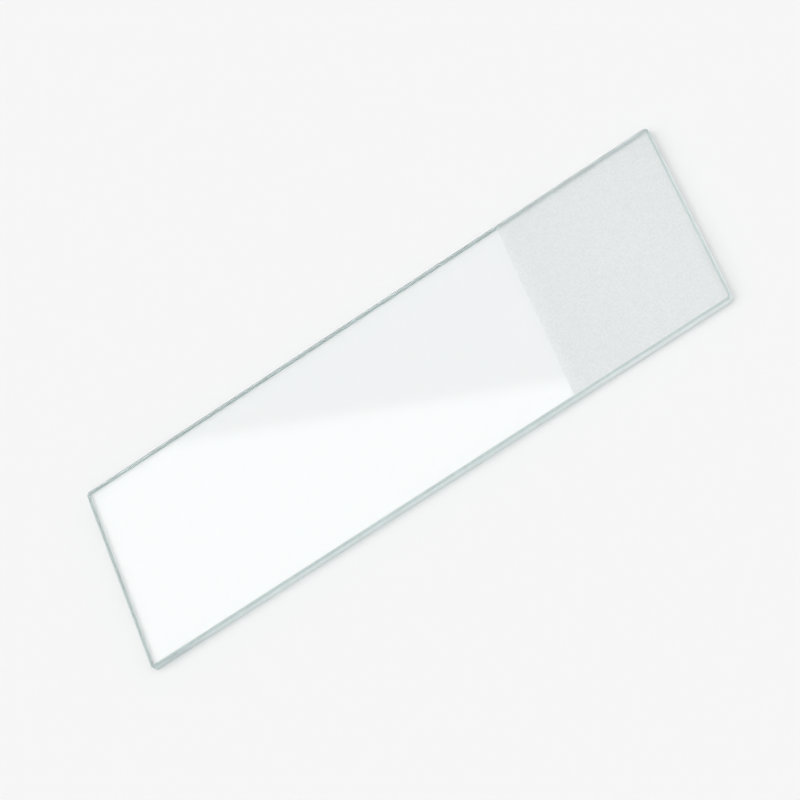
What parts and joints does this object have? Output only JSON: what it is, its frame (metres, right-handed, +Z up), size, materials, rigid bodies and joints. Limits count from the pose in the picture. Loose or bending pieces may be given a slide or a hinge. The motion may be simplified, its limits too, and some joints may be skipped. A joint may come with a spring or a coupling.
{
  "type": "microscope slide",
  "caption": "Flat rectangular glass plate with ground, bevelled edges, clear over most of its length and frosted on one face at one end for labelling.",
  "frame": {"origin": "centre of the underside, on the surface the slide lies on", "axes": "+X along the length towards the frosted end, +Y across the width, +Z up through the frosted face"},
  "size_m": [0.0762, 0.0254, 0.0011],
  "materials": {
    "slide_glass": "clear polished faces, matt ground edges and a fine frosted end"
  },
  "bodies": {
    "root": {"glass_slide": "slide_glass"}
  },
  "joints": []
}
